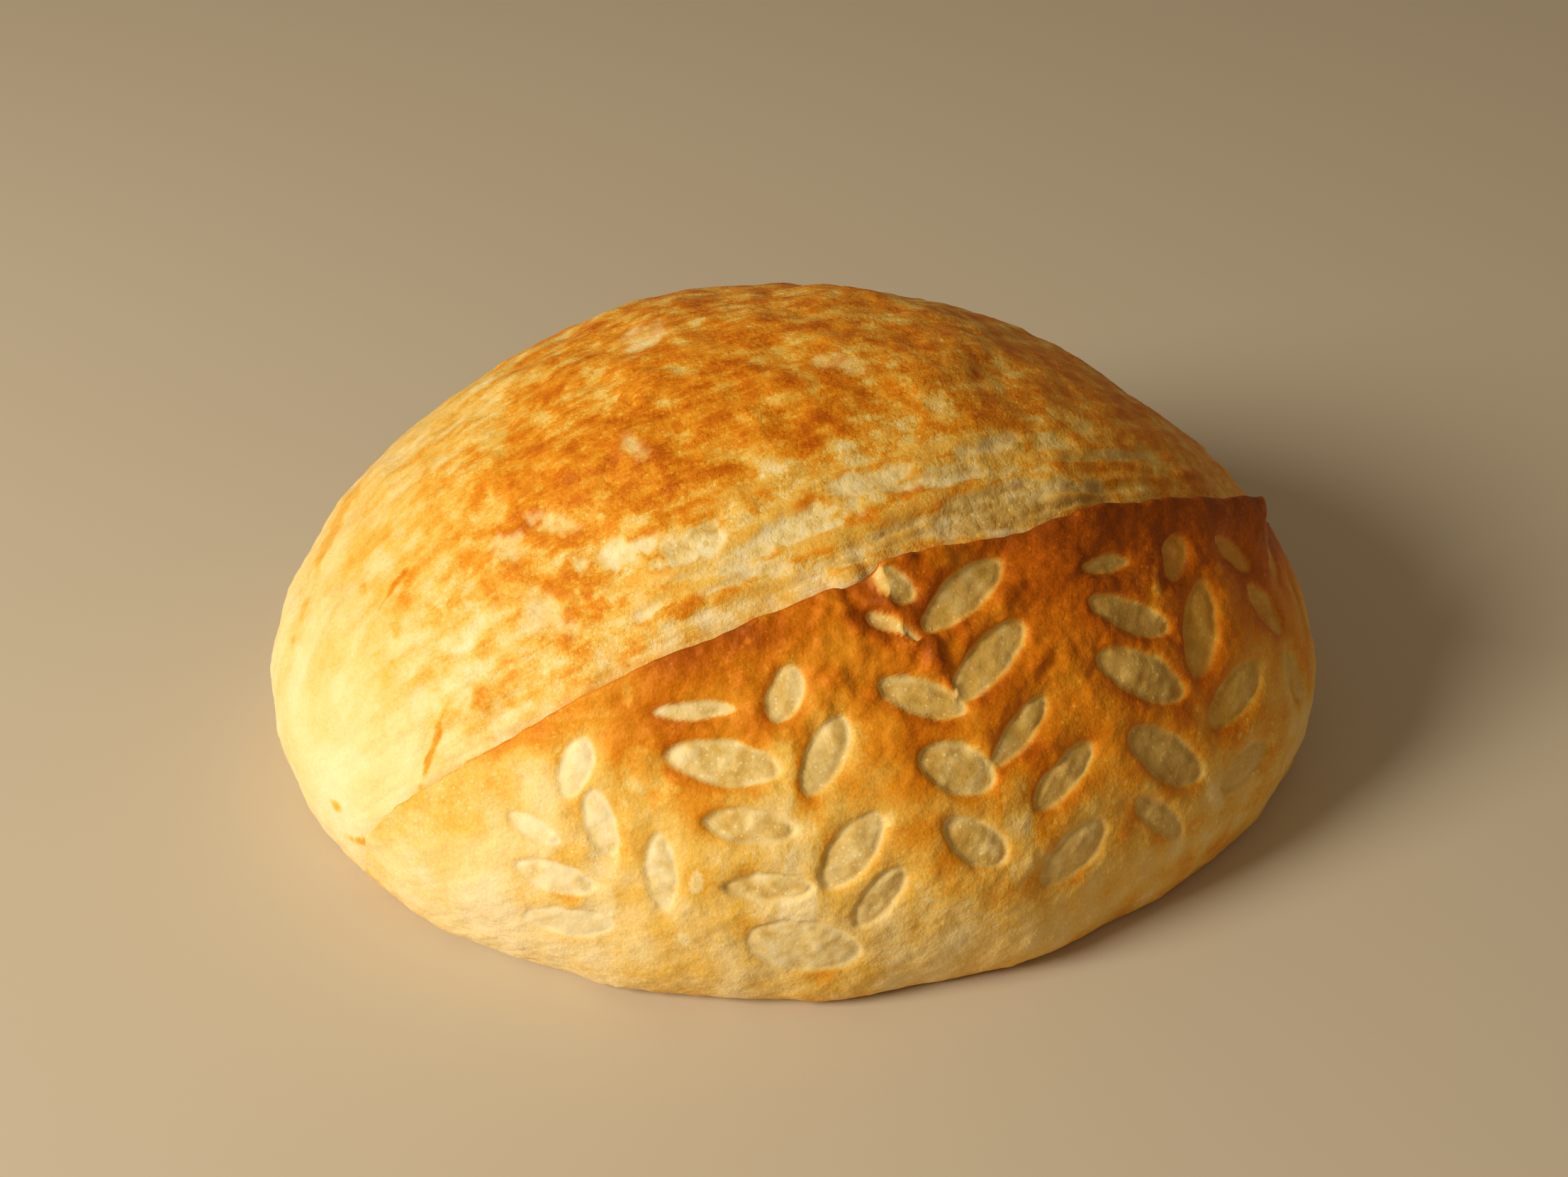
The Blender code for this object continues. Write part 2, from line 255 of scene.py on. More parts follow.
BLISTERS = (
    (-72, 62.0, 8, 4.5, -11, 1.5), (-70, 57, 5, 4, 10, 0.9), (-85, 60.4, 6, 5.5, -52, 1.1), (-86, 56, 5, 4, 0, 0.5),
    (-75, 64.6, 5, 2.6, -70, 0.7), (-72, 74.2, 7, 3.6, 1, 1.1), (-80, 66, 9, 5, -60, 0.7), (-83, 68, 8, 4, -80, 0.6),
    (-77, 68.5, 7, 3, -50, 0.7), (-81, 63, 4, 3, -20, 0.6), (-58.5, 66, 6, 4, 10, 0.6), (-57, 58, 7, 3, 60, 0.6),
    (-36, 55.5, 6, 3.4, -50, 0.6), (-78, 50, 5, 4, -20, 0.35), (-95, 60, 7, 4, -60, 0.3), (-57, 62, 6, 4, 40, 0.3),
)
PALE_SPOTS = (
    (-105.5, 47.3, 9, 8, -38, 0.14), (-106, 42, 9, 6, -20, 0.08), (-119, 44, 11, 7, -134, 0.05),
    (-109, 57, 5, 1.8, -8, 0.16), (-108, 33, 8, 5, -17, 0.10), (-108, 24, 9, 7, -12, 0.10),
    (-99, 30.7, 4, 2.6, -2, 0.22), (-100, 19.6, 3.6, 2.6, -26, 0.16), (-34, 60.2, 5, 2.4, 31, 0.22),
    (-22, 55.3, 3, 2.4, 42, 0.16), (-113, 60, 3, 2.4, -60, 0.2), (-115, 58, 3, 2, -60, 0.16),
    (-91.5, 47, 24, 6, 4, 0.10), (-89, 31, 26, 7, 6, 0.13), (-69.5, 53, 24, 5, 8, 0.08), (-66.5, 35, 24, 6, 6, 0.10),
    (-37, 52, 24, 5, 0, 0.08), (-39.5, 32, 24, 6, 0, 0.08), (-94, 68, 2.6, 2, 0, 0.2),
    (-88, 50, 16, 12, 0, 0.04), (-92, 36, 20, 14, 0, 0.05), (-66, 74, 16, 10, -80, 0.05),
    (-84, 26, 14, 22, 0, 0.05), (-90, 24, 5, 2.4, -70, 0.14), (-80, 40, 3.2, 2, 20, 0.14),
)
FLAKES = ((-149, 87.9, 10, 10, -129, 1.0), (-138, 80, 9, 6, -110, 0.6), (-100, 88, 7, 5, -60, 0.5))
STRANDS = (
    (-109, 72.0, 24, 2.6, -114, 0.9), (-99, 76.7, 13, 3.2, -133, 1.0), (-91, 80.5, 15, 3.0, -131, 0.9),
    (-106, 70.4, 20, 2.8, -115, 0.8), (-83, 76.7, 20, 3.6, -102, 1.0), (-67, 78.6, 18, 3.6, -101, 1.0),
    (-94, 71.4, 15, 3.4, -110, 1.0), (-70, 76.2, 14, 1.5, -100, 0.8), (-61, 79.4, 9, 2.4, -84, 1.0),
    (-52, 83.5, 22, 3.0, -80, 0.9), (-30, 78.5, 30, 2.6, -62, 0.9), (-20, 71.8, 24, 2.4, -54, 0.9),
    (-100, 81.5, 14, 3.0, -120, 0.7), (-112, 67.5, 14, 2.2, -120, 0.7), (-33, 73.6, 22, 1.6, -66, 0.7),
)
WINDOWS = (
    (-107, 74.8, 14, 6.4, -114, 1.0), (-89, 77.9, 21, 6.4, -111, 1.0), (-96, 73.5, 14, 2.2, -99, 1.0),
    (-72, 82.1, 15, 4.6, -100, 0.8), (-55, 80.8, 18, 3.6, -85, 0.9), (-81, 74.1, 9, 1.7, -91, 0.9),
    (-70, 76.5, 12, 2.8, -92, 0.9), (-118, 73.2, 12, 4.6, -119, 0.9), (-132, 73.9, 10, 4.4, -105, 0.5),
    (-129, 83.3, 8, 3.0, -62, 0.4), (-109, 71.6, 10, 1.8, -112, 0.8),
    (-125, 64.5, 12, 5.6, -71, 0.5), (-110, 67.7, 6, 2.4, -133, 0.7),
    (-91, 71.8, 8, 1.5, -115, 0.8), (-46, 76.0, 40, 7.5, -80, 1.0), (-41, 82.1, 13, 3.4, -81, 0.8),
    (-19, 74.8, 26, 2.4, -55, 0.7), (-55, 91.2, 9, 5.0, -48, 0.25), (169, 88.5, 8, 12, 148, 0.4),
    (-137, 69.4, 8, 5.0, -125, 0.5), (-101, 71.4, 8, 1.5, -112, 0.7),
)

# Mesh rows and columns, and where each piece is closed inside the loaf.
FLAP_COLUMNS = 470
FLAP_ROWS = 176
FLAP_CROWDING = 1.15
FLAP_MIDDLE = (0.0, -0.72)
SHELL_DEPTH = 5.5 * MM
UNDER_GROOVE = 3 * MM
LIP_UNDERCUT = 0.45
BASE_STRIP = 3.9 * MM
# Rings that round the flap's edge: (backwards and down at the lip, inwards at the base), in mm.
LIP_ROUND = ((0.35, 0.10, 0.6), (0.6, 0.45, 1.4), (0.55, 0.95, 2.2), (0.1, 1.5, 3.0))
DOME_COLUMNS = 345
DOME_ROWS_HIDDEN = 14
DOME_ROWS = 240
DOME_CROWDING = 1.25
SINK_DEPTH = 4 * MM
SINK_REACH = 4 * MM
RINGS = 9
NORMAL_STEP = 0.004
BACK_STEP = 0.02

# Paints of the crust from unbaked to deep brown, and of the crumb from fresh to ripe.
BAKE_PAINTS = (
    (0.00, (249, 226, 172)), (0.16, (245, 212, 138)), (0.34, (237, 186, 78)), (0.50, (230, 148, 28)),
    (0.66, (214, 119, 8)), (0.80, (187, 91, 2)), (1.00, (144, 64, 0)),
)
CRUMB_PAINTS = ((0.00, (246, 226, 174)), (0.30, (238, 208, 136)), (0.60, (218, 176, 88)), (1.00, (182, 132, 48)))

# Scales of the patterns in the materials, in patches a metre.
MOTTLE_SCALE = 230.0
TORN_SCALE = 420.0
GRAIN_SCALE = 1300.0
# Pale pinpoints on the crust: partly pale specks of the crust, partly painted glints.
SPECK_AND_GLINT_SCALES = (330.0, 900.0)
CLOUD_SCALE = 300.0
PORE_SCALE = 420.0
# The crumb's pale dots: painted glints.
PAINTED_GLINT_SCALE = 1000.0
BEND_SCALE = 700.0
BEND_REACH = 1.6 * MM
FROTH_GRAIN_SCALE = 1800.0
WRINKLE_SCALE = 420.0
BLISTER_SCALE = 1500.0
SHEEN_SCALE = 900.0
SHEEN_UNEVENNESS = 0.4

# The crust's sheen: warm and low, as on plain baked bread.
SHEEN = 0.30
SHEEN_TINT = (1.0, 0.72, 0.42, 1)
PALING = 0.75

# What bread_material is given for each piece.
FLAP_LOOKS = {
    "name": "decorated_crust",
    "skin_looks": {"Mottle": 0.16, "Flakes": 0.06, "Grain": 0.38, "Specks_and_glints": 0.30},
    "crumb_looks": {"Scale": 480.0, "Pores": 0.1},
    "roughness": 0.56,
    "crust_bump": 0.31 * MM,
    "crumb_bump": 0.10 * MM,
}
DOME_LOOKS = {
    "name": "risen_crust",
    "skin_looks": {"Mottle": 0.15, "Flakes": 0.10, "Grain": 0.34, "Specks_and_glints": 0.11},
    "crumb_looks": {"Scale": 560.0, "Pores": 0.4},
    "roughness": 0.58,
    "crust_bump": 0.32 * MM,
    "crumb_bump": 0.16 * MM,
}

# The photograph's view: where the camera stands, how far it looks down, how it rolls, and its lens in mm.
CAMERA_PLACE = (-0.00279, -0.36918, 0.28715)
CAMERA_FALL = math.radians(34.7)
CAMERA_ROLL = math.radians(0.32)
CAMERA_FILM = 36
CAMERA_LENS = 48.82

# A soft window on the left and warm light from the room. Powers in watts.
WINDOW_PLACE = (-0.92, -0.59, 0.68)
WINDOW_AIM = (0, 0, 0.03)
WINDOW_SIZE = 0.5
WINDOW_POWER = 16
WINDOW_COLOUR = (1.0, 0.95, 0.86)
ROOM_COLOUR = (1.0, 0.80, 0.55, 1)
ROOM_STRENGTH = 0.22
FLOOR_REACH = 3
FLOOR_LEVEL = -0.2 * MM
FLOOR_PAINT = (206, 190, 162)


# Arithmetic on whole arrays.


def smooth(low, high, value):
    """Smooth step: 0 at low, 1 at high, 3t^2 - 2t^3 between."""
    share = np.clip((value - low) / (high - low), 0, 1)
    return share * share * (3 - 2 * share)


def bump(distance, reach):
    """Bell: e to the power of minus (distance / reach) squared."""
    return np.exp(-((distance / reach) ** 2))


def within(span, value):
    """1 inside a span of four places, eased from the first to the second and from the third to the fourth."""
    return smooth(span[0], span[1], value) * smooth(span[3], span[2], value)


def between_knots(knots, place):
    """Value at each place among (place, value) knots, eased from knot to knot by a smooth step."""
    places, values = np.array(knots, float).T
    start = np.clip(np.searchsorted(places, place, side="right") - 1, 0, len(places) - 2)
    share = np.clip((place - places[start]) / (places[start + 1] - places[start]), 0, 1)
    return values[start] + (values[start + 1] - values[start]) * share * share * (3 - 2 * share)


def length(vectors):
    """Length of each vector."""
    return np.sqrt((vectors * vectors).sum(-1))


def unit(vectors):
    """Each vector at length 1."""
    return vectors / np.maximum(length(vectors), 1e-12)[..., None]


def rolls(points, wavelength, seed, waves):
    """Soft unevenness: the sum of cosines of waves in random directions, with a spread of about 1."""
    chance = np.random.default_rng(seed)
    directions = unit(chance.normal(size=(waves, 3)))
    lengths = wavelength * chance.uniform(0.75, 1.35, waves)
    starts = chance.uniform(0, 2 * np.pi, waves)
    total = np.zeros(points.shape[:-1])
    for direction, wave, start in zip(directions, lengths, starts):
        total += np.cos(points @ (direction * 2 * np.pi / wave) + start)
    return total / math.sqrt(waves / 2)


def layered(points, layers, waves=18):
    """The sum of layers of rolls, each times its amount."""
    return sum(amount * rolls(points, wavelength * MM, seed, waves) for amount, wavelength, seed in layers)


def scatter(cells, seed):
    """A number from 0 to 1 for each whole-numbered cell: the fraction of a large sine of it."""
    mixed = np.sin(cells @ np.array((127.1, 311.7, 74.7)) + seed * 17.3) * 43758.5453
    return mixed - np.floor(mixed)


def bubbles(points, spacing, seed):
    """Distance to the nearest of the scattered bubble middles, in spacings, and that bubble's own number."""
    scaled = points / spacing
    home = np.floor(scaled)
    nearest = np.full(points.shape[:-1], 9.0)
    number = np.zeros(points.shape[:-1])
    for step in np.ndindex(3, 3, 3):
        cell = home + np.array(step) - 1
        middle = np.stack([scatter(cell, seed + axis) for axis in range(3)], -1)
        away = length(scaled - cell - middle)
        closer = away < nearest
        nearest = np.where(closer, away, nearest)
        number = np.where(closer, scatter(cell, seed + 7), number)
    return nearest, number


# The dome that both pieces are laid on.


def dome_point(radius, around):
    """Smooth dome over a disc: radius 0 is the crown, BELLY_RADIUS the widest line, 1 the rim it stands on.

    Above the belly, fall = radius / BELLY_RADIUS quarter turns, spread = sin(fall), and the height goes by
    cos(fall) to the power of 1 + SHOULDER * root of cos(fall). Below, the side tucks in on a quarter turn.
    """
    fall = np.minimum(radius / BELLY_RADIUS, 1) * np.pi / 2
    level = np.maximum(np.cos(fall), 0)
    high = BELLY_HEIGHT + (HEIGHT - BELLY_HEIGHT) * level ** (1 + SHOULDER * np.sqrt(level))
    tuck = np.clip((radius - BELLY_RADIUS) / (1 - BELLY_RADIUS), 0, 1) * np.pi / 2
    low = BELLY_HEIGHT * (1 - np.sin(tuck))
    above = radius <= BELLY_RADIUS
    spread = np.where(above, np.sin(fall), BASE_SHARE + (1 - BASE_SHARE) * np.cos(tuck))
    spread = spread * (1 + THREE_LOBES * np.cos(3 * around) + SKEW * np.sin(2 * around))
    x = LENGTH / 2 * spread * np.cos(around)
    y = WIDTH / 2 * spread * np.sin(around)
    return np.stack(np.broadcast_arrays(x, y, np.where(above, high, low)), -1)


def dome_normal(radius, around):
    """Outward direction of the dome: the cross product of two short steps along it."""
    radius = np.clip(radius, NORMAL_STEP, 1 - NORMAL_STEP)
    across = dome_point(radius + NORMAL_STEP, around) - dome_point(radius - NORMAL_STEP, around)
    along = dome_point(radius, around + NORMAL_STEP) - dome_point(radius, around - NORMAL_STEP)
    return unit(np.cross(across, along))


def dome_radius(height):
    """Radius on the disc at which the dome has this height, found by halving."""
    inner, outer = 0.0, 1.0
    for _ in range(24):
        middle = (inner + outer) / 2
        if dome_point(np.array(middle), np.array(0.0))[2] > height:
            inner = middle
        else:
            outer = middle
    return (inner + outer) / 2


def square_to_disc(p, q):
    """A square of side 2 laid smoothly onto the unit disc."""
    return p * np.sqrt(1 - q * q / 2), q * np.sqrt(1 - p * p / 2)


def score_line(p):
    """Where the score crosses column p of the square: a cubic of the disc's x, by repeated substitution."""
    q = np.full_like(p, SCORE_LOW)
    for _ in range(8):
        x = p * np.sqrt(1 - q * q / 2) - SCORE_MIDDLE
        q = (SCORE_LOW + SCORE_CURVE * x * x + SCORE_TAIL * x**3) / np.sqrt(1 - p * p / 2)
    return q


def polar(p, q):
    """Radius and direction on the dome's disc of points of the square, which is turned with the score."""
    x, y = square_to_disc(p, q)
    return np.minimum(np.hypot(x, y), 1), np.arctan2(y, x) + SCORE_TURN


def swell(points):
    """Rise of the skin from every swell near it, each a bell round its place on the dome."""
    rise = np.zeros(points.shape[:-1])
    for degrees_round, height, reach, top in SWELLS:
        centre = dome_point(np.array(dome_radius(height * MM)), np.array(math.radians(degrees_round)))
        rise += top * MM * bump(length(points - centre), reach * MM)
    return rise


def tangent_frame(degrees_round, height, lean, outward=None):
    """Place on the dome and three directions: along the patch to its tip, across it, and out of the crust."""
    around = np.array(math.radians(degrees_round))
    radius = np.array(dome_radius(height * MM))
    place = dome_point(radius, around)
    if outward is None:
        outward = dome_normal(radius, around)
    sideways = unit(np.cross((0, 0, 1), outward))
    uphill = np.cross(outward, sideways)
    turn = math.radians(lean)
    tipward = uphill * math.cos(turn) + sideways * math.sin(turn)
    return place, tipward, np.cross(outward, tipward), outward


def grid_normals(points):
    """Outward directions of a grid of points: the cross product of its steps along columns and rows."""
    by_row, by_column = np.gradient(points, axis=0), np.gradient(points, axis=1)
    return unit(np.cross(by_column, by_row))


def skin(p, q):
    """Everything known at points of the square: dome place, direction out, lip in the same column, distances."""
    radius, around = polar(p, q)
    score = score_line(p)
    lip_radius, lip_around = polar(p, score)
    lip = dome_point(lip_radius, lip_around)
    point = dome_point(radius, around)
    back = unit(dome_point(*polar(p, np.minimum(score + BACK_STEP, 1))) - lip)
    return {
        "p": p,
        "q": q,
        "radius": radius,
        "around": around,
        "dome": point,
        "out": dome_normal(radius, around),
        "distance": length(point - lip),
        "back": back,
        "along": square_to_disc(p, score)[0],
        "lift": between_knots(LIP_LIFT, square_to_disc(p, score)[0]) * MM,
        "free": np.clip((1 - radius) / RIM_REACH, 0, 1),
    }


def raised(points, at, rise):
    """Points moved out of the crust by a rise in metres, which fades out at the rim that the loaf stands on."""
    return points + at["out"] * (rise * at["free"])[..., None]


def on_the_floor(points, at):
    """Points with the rim at height 0 and nothing below it."""
    points[..., 2] = np.where(at["radius"] >= 1, 0, np.maximum(points[..., 2], 0))
    return points


def unevenness(points):
    """What the whole loaf shares: broad unevenness, smaller waves and fine blisters, in metres."""
    return layered(points, LOAF_WAVES) * MM


# Leaf cuts and patches.


def leaf_edge(points, frame_of_cut, length_mm, width_mm):
    """Distance outwards from a pointed ellipse on the skin, in mm: (ratio - 1) / slope.

    ratio is the root of (along / half length) squared + (across / half width) squared, where the half width
    shrinks towards the tips by TIP_PINCH, and slope is how fast ratio grows outwards. Far from it, it is FAR.
    """
    place, tipward, across, outward = frame_of_cut
    offset = (points - place) / MM
    s = offset @ tipward
    t = offset @ across
    near = np.abs(offset @ outward) < LEAF_REACH_OUT
    share = s / (length_mm / 2)
    half = LEAF_SPREAD * width_mm / 2 * np.maximum(1 - TIP_PINCH * share * share, LEAST_WIDTH)
    ratio = np.sqrt(share * share + (t / half) ** 2)
    slope = np.sqrt((share / (length_mm / 2)) ** 2 + (t / half**2) ** 2) / np.maximum(ratio, 1e-6)
    edge = (ratio - 1) / np.maximum(slope, 1e-6)
    return np.where(near, edge, FAR)


def patch_share(points, warp, patch, fade):
    """1 inside a patch of the crust, fading over its ragged outline: an ellipse with its radius disturbed."""
    degrees_round, height, long, wide, lean, strength = patch
    place, tipward, across, outward = tangent_frame(degrees_round, height, lean)
    offset = (points - place) / MM
    ratio = np.hypot(offset @ tipward / (long / 2), offset @ across / (wide / 2))
    near = np.abs(offset @ outward) < PATCH_REACH_OUT
    return strength * near * smooth(*fade, ratio + warp)


def strongest(points, warp, patches, fade):
    """The largest share of all these patches at each point."""
    return np.maximum.reduce([patch_share(points, warp, patch, fade) for patch in patches])


# The two pieces.


def side_loop(rows, columns):
    """Numbers of a grid's outermost points, once round: first row, last column, last row, first column."""
    number = np.arange(rows * columns).reshape(rows, columns)
    return np.concatenate((number[0, :-1], number[:-1, -1], number[-1, :0:-1], number[:0:-1, 0]))


def flow(at):
    """Coordinates that run with the score: along it at a fifth of its length, and across it by the distance."""
    return np.stack((at["along"] * 40 * MM, at["distance"], at["dome"][..., 2] * 0.1), -1)


def closed_mesh(name, grid, rings, pole, values, followed):
    """A grid of points, then rings that carry its outermost points inwards to one pole: one closed skin.

    values are (value on the grid, factor): each ring vertex takes the value of its outermost point times the
    factor. followed becomes the attribute "flow", which is zero on the rings.
    """
    rows, columns, _ = grid.shape
    loop = side_loop(rows, columns)
    count = len(loop)
    points = np.concatenate([grid.reshape(-1, 3)] + list(rings) + [pole[None]])
    number = np.arange(rows * columns).reshape(rows, columns)
    quads = [np.stack((number[:-1, :-1], number[:-1, 1:], number[1:, 1:], number[1:, :-1]), -1).reshape(-1, 4)]
    inner = loop
    for ring in range(len(rings)):
        outer, inner = inner, rows * columns + ring * count + np.arange(count)
        quads.append(np.stack((np.roll(outer, -1), outer, inner, np.roll(inner, -1)), -1))
    quads = np.concatenate(quads)
    fan = np.stack((np.roll(inner, -1), inner, np.full(count, len(points) - 1)), -1)
    a, b, c = (points[quads[:, k]] for k in (0, 1, 2))
    if (np.cross(b - a, c - a) * (a + b + c)).sum() < 0:
        raise ValueError(name + " is inside out")
    mesh = bpy.data.meshes.new(name)
    mesh.from_pydata((points - BOX_MIDDLE).tolist(), [], quads.tolist() + fan.tolist())
    mesh.polygons.foreach_set("use_smooth", np.ones(len(mesh.polygons), bool))
    for label, (on_grid, on_rings) in values.items():
        attribute = mesh.attributes.new(label, "FLOAT", "POINT")
        edge = on_grid.ravel()[loop] * on_rings
        rest = np.concatenate((np.tile(edge, len(rings)), (edge.mean(),)))
        attribute.data.foreach_set("value", np.concatenate((on_grid.ravel(), rest)).astype(np.float32))
    attribute = mesh.attributes.new("flow", "FLOAT_VECTOR", "POINT")
    rest = np.zeros((len(points) - grid[..., 0].size, 3))
    attribute.data.foreach_set("vector", np.concatenate((followed.reshape(-1, 3), rest)).ravel().astype(np.float32))
    made = bpy.data.objects.new(name, mesh)
    bpy.context.scene.collection.objects.link(made)
    return made


def flap_skin():
    """The skin in front of the score, with its lip lifted and curled back.

    Rows run from the score down to the rim, closer together by the score. The lift fades by curl, which is e to
    the power of minus (distance / LIP_REACH) to the power of LIP_CURL, and the overhang by curl squared.
    """
    p, v = np.meshgrid(np.linspace(-1, 1, FLAP_COLUMNS), np.linspace(0, 1, FLAP_ROWS)[::-1])
    score = score_line(p)
    at = skin(p, score - (1 + score) * v**FLAP_CROWDING)
    curl = np.exp(-((at["distance"] / LIP_REACH) ** LIP_CURL))
    ragged = layered(at["dome"], LIP_WAVES)
    lifted = smooth(0.8 * MM, 2.5 * MM, at["lift"])
    rise = swell(at["dome"]) + at["lift"] * curl
    rise += ragged * MM * bump(at["distance"], 3 * MM) * (0.4 + 0.6 * lifted)
    overhang = LIP_OVERHANG * at["lift"] * curl**2 + 0.8 * ragged * MM * bump(at["distance"], 2.5 * MM)
    return at, raised(at["dome"], at, rise) + at["back"] * (overhang * at["free"])[..., None]


def carve_leaves(at, points):
    """Sink every leaf into the flap, and give back what its floor, crumb and edges need for their colours.

    The relief goes by the distance from the leaf's outline. Outside it the crust sinks by PILLOW_DROP times e to
    the power of minus distance / PILLOW_REACH. Across it lies a step, and the floor bulges in its middle and
    leans up towards the upper right. Cuts low on the loaf are shallower and show less crumb. The halo round each
    cut is partly browned crust and partly painted shade: darker at the lower left, paler at the upper right.
    """
    out = grid_normals(points)
    waver = layered(points, LEAF_EDGE_WAVES)
    depth, floor, crumb, edge_browning_and_shade, rim = np.zeros((5, *points.shape[:-1]))
    for sprig, cuts in SPRIGS.items():
        relief, *opened_by_lean = SPRIG_LOOKS[sprig]
        for degrees_round, height, long, wide, lean in cuts:
            place, _, _, outward = tangent_frame(degrees_round, height, 0)
            offset = points - place
            sideways = length(offset - (offset @ outward)[..., None] * outward)
            nearest = np.unravel_index(np.argmin(sideways + (np.abs(offset @ outward) > 16 * MM)), sideways.shape)
            cut_frame = tangent_frame(degrees_round, height, lean, out[nearest])
            edge = leaf_edge(points, (points[nearest],) + cut_frame[1:], long, wide)
            edge = edge + waver * smooth(4, 0, np.abs(edge))
            inside = smooth(*STEP_EDGE, edge)
            below = unit(points - points[nearest]) @ DOWN_LEFT
            crown = (FLOOR_CROWN + FLOOR_TILT * np.clip(-below, -0.3, 1)) * inside * smooth(0, -wide / 3, edge)
            sunk = PILLOW_DROP * np.exp(-np.maximum(edge, 0) / PILLOW_REACH) + STEP_DROP * inside - crown
            depth = np.maximum(depth, sunk * relief * (0.5 + 0.5 * smooth(14, 34, height)))
            floor = np.maximum(floor, smooth(*FLOOR_EDGE, edge))
            opened = opened_by_lean[lean > 0] * (0.75 + 0.25 * smooth(12, 34, height))
            crumb = np.maximum(crumb, opened * smooth(*CRUMB_EDGE, edge))
            # The halo round the cut: partly browned crust and partly painted shade, darker at the lower left, paler
            # at the upper right.
            halo = np.exp(-np.abs(edge - HALO_MIDDLE) / HALO_REACH)
            edge_browning_and_shade += halo * (smooth(-0.6, 0.7, below) - 0.4 * smooth(0.0, -0.9, below))
            rim = np.maximum(rim, bump(edge - RIM_MIDDLE, RIM_WIDTH) * smooth(0.5, -0.6, below))
    froth, size = bubbles(points, FLOOR_BUBBLES, 41)
    frothy = BUBBLE_RELIEF * smooth(0.7, 0.1, froth) * (size - 0.35) + layered(points, LEAF_FLOOR_WAVES)
    frothy *= floor
    carved = points - out * ((depth - frothy) * MM * at["free"])[..., None]
    return carved, floor, crumb, np.clip(edge_browning_and_shade, -0.5, 1), rim


def flap_rings(at, points):
    """The flap's hidden side: over the lip's edge, down under it, and a membrane inside the crust."""
    loop = side_loop(*points.shape[:2])
    free, lift = at["free"][..., None], at["lift"][..., None]
    known = (points, free, at["back"], at["out"], lift, at["p"], at["q"])
    edge, free, back, out, lift, p, q = (values.reshape(-1, *values.shape[2:])[loop] for values in known)
    inward = -unit(edge * (1, 1, 0))
    rings = []
    under = GROOVE_DEPTH + UNDER_GROOVE + lift
    for backwards, down, along_base in LIP_ROUND:
        lip_way = back * backwards - out * down
        rings.append(edge + (lip_way * free + inward * along_base * (1 - free)) * MM)
    lip_way = back * (LIP_ROUND[-1][0] * MM - LIP_UNDERCUT * lift) - out * under
    rings.append(edge + lip_way * free + inward * BASE_STRIP * (1 - free))
    for share in np.linspace(0.96, 0, RINGS)[:-1] ** 1.2:
        at_share = skin(*(middle + (value - middle) * share for middle, value in zip(FLAP_MIDDLE, (p, q))))
        rise = (swell(at_share["dome"]) * at_share["free"] - SHELL_DEPTH)[:, None]
        rings.append(at_share["dome"] + at_share["out"] * rise)
    middle = skin(*np.array(FLAP_MIDDLE)[:, None])
    pole = (middle["dome"] - middle["out"] * SHELL_DEPTH)[0]
    for ring in rings:
        ring[:, 2] = np.maximum(ring[:, 2], 0)
    return rings, pole


def in_mm(at):
    """x and height on the dome, and the distance from the score, in mm."""
    return at["dome"][..., 0] / MM, at["dome"][..., 2] / MM, at["distance"] / MM


def degrees(radians):
    """Degrees round the loaf from -180 to 180, with -90 the decorated side."""
    return (np.degrees(radians) + 180) % 360 - 180


def flap_tone(at, points, edge_browning_and_shade, puffed):
    """How far the flap is baked: by height and direction, more along the lip and the horn, and at the cuts, whose
    halo is partly browned crust and partly painted shade.
    """
    round_loaf = degrees(at["around"])
    _, z, distance = in_mm(at)
    tone = between_knots(FLAP_BAKE_BY_HEIGHT, z) * between_knots(FLAP_BAKE_ROUND, round_loaf)
    tone += between_knots(FLAP_LIP_ROUND, round_loaf) * np.exp(-distance / LIP_BAKE_REACH)
    tone += HORN_BAKE * smooth(0.0, 0.12, at["along"]) * bump(distance, LIP_BAKE_REACH)
    tone += 0.02 * smooth(-70, -30, round_loaf) * smooth(20, 50, z)
    tone += layered(points, FLAP_BAKE_WAVES)
    ragged = layered(points, PALE_SPOT_WAVES)
    for patch in PALE_SPOTS:
        tone -= patch_share(points, ragged, patch, PALE_FADE)
    # The cuts' halo adds browning and painted shade; the blisters add browning.
    tone += EDGE_BAKE_AND_SHADE * edge_browning_and_shade * smooth(0.1, 0.5, tone) + BLISTER_BAKE * puffed
    return np.clip(tone, 0, FULLY_BAKED)


def make_flap():
    """The decorated flap: its skin with blisters, leaf cuts and wrinkles, closed inside, with its baking."""
    at, points = flap_skin()
    points = raised(points, at, unevenness(points))
    puffed = strongest(points, layered(points, BLISTER_EDGE_WAVES), BLISTERS, BLISTER_FADE)
    round_loaf = degrees(at["around"])
    upper = smooth(38, 60, points[..., 2] / MM) * smooth(-120, -95, round_loaf)
    wrinkles = layered(points, WRINKLE_WAVES, FINE_WAVES)
    points = raised(points, at, BLISTER_RISE * puffed * MM)
    points, floor, crumb, edge_browning_and_shade, rim = carve_leaves(at, points)
    wrinkles *= (0.25 + 0.75 * upper) * (1 - 0.8 * floor)
    points = on_the_floor(raised(points, at, wrinkles * MM), at)
    tone = flap_tone(at, points, edge_browning_and_shade, puffed)
    rings, pole = flap_rings(at, points)
    ripe = between_knots(FLAP_RIPE_ROUND, round_loaf) - 0.15 * rim + layered(points, FLAP_RIPE_WAVES)
    ripe -= 0.25 * smooth(26, 12, at["dome"][..., 2] / MM)
    broken = 0.28 + layered(points, FLAP_BROKEN_WAVES)
    values = {"bake": (tone, 1.05), "crumb": (crumb, 0.0), "ripe": (ripe, 1.0), "broken": (broken, 1.0)}
    return closed_mesh("decorated_flap", points, rings, pole, values, flow(at))


